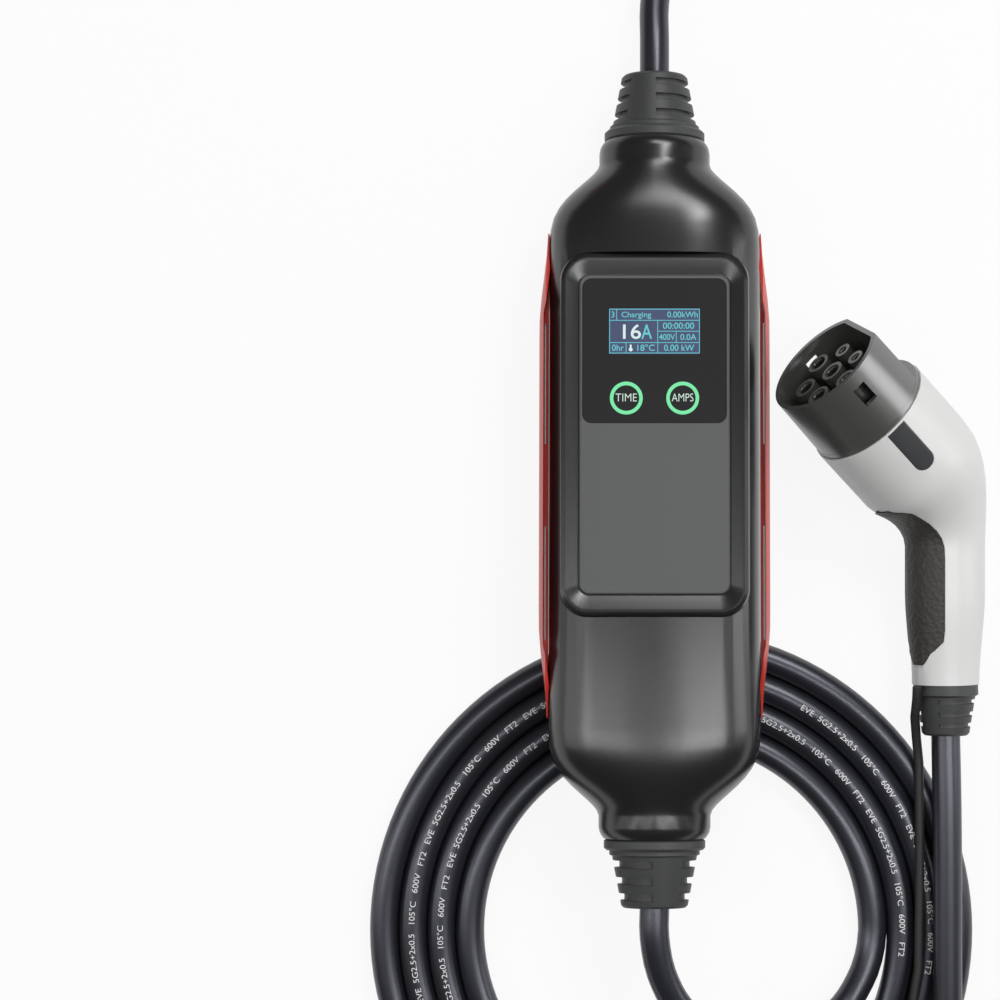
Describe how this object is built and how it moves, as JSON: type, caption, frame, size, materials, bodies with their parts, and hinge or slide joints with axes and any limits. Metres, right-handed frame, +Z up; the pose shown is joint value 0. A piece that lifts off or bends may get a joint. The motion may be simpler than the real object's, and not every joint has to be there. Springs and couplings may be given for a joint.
{
  "type": "portable electric vehicle charger",
  "caption": "Portable electric vehicle charger: slim control box with display and side guards, coiled output cord with an angled vehicle connector, and a supply cord with a round plug.",
  "frame": {"origin": "bottom centre of the control box as it lies on its back, on the floor plane", "axes": "+Z up from the floor, +Y along the box towards the supply cord, +X towards the vehicle connector"},
  "size_m": [0.338, 0.7282, 0.0822],
  "materials": {
    "housing": "satin moulded black",
    "guard": "fine-grained red",
    "plate": "leather-grained dark grey",
    "lens": "glossy dark window",
    "display": "lit liquid-crystal display",
    "key_light": "lit ring",
    "board": "solder-masked laminate",
    "component": "moulded component bodies",
    "core": "wound core",
    "terminal": "terminal blocks",
    "screw": "zinc-plated",
    "seal": "matt",
    "relief": "matt charcoal",
    "cord": "smooth cable sheath",
    "shell": "satin white",
    "sleeve": "matt dark grey",
    "pad": "textured charcoal",
    "inlay": "glossy black",
    "contact": "silver-plated",
    "plug_dark": "matt black",
    "plug_red": "satin red",
    "cap": "matt black"
  },
  "bodies": {
    "root": {"front_shell": "housing", "rear_shell": "housing", "housing_seal": "seal", "side_guard_left": "guard", "side_guard_right": "guard", "face_plate": "plate", "screen_lens": "lens", "display_module": "display", "time_ring": "key_light", "amps_ring": "key_light", "display_board": "board", "main_board": "board", "power_relays": "component", "leakage_sensor": "core", "power_supply": "component", "supply_terminals": "terminal", "output_terminals": "terminal", "housing_screws": "screw", "supply_gland": "relief", "output_gland": "relief", "supply_grommet": "seal", "output_grommet": "seal", "supply_cord": "cord", "output_lead": "cord", "cord_coil": "cord", "connector_lead": "cord", "cap_strap": "cap", "dust_cap": "cap", "plug_body": "plug_dark", "plug_shroud": "plug_red", "plug_insert": "plug_dark", "plug_pins": "contact", "plug_nut": "plug_dark", "connector_shell_left": "shell", "connector_shell_right": "shell", "connector_sleeve": "sleeve", "contact_carrier": "sleeve", "contacts": "contact", "grip_pad": "pad", "inlay_left": "inlay", "inlay_right": "inlay", "connector_gland": "relief"}
  },
  "joints": []
}
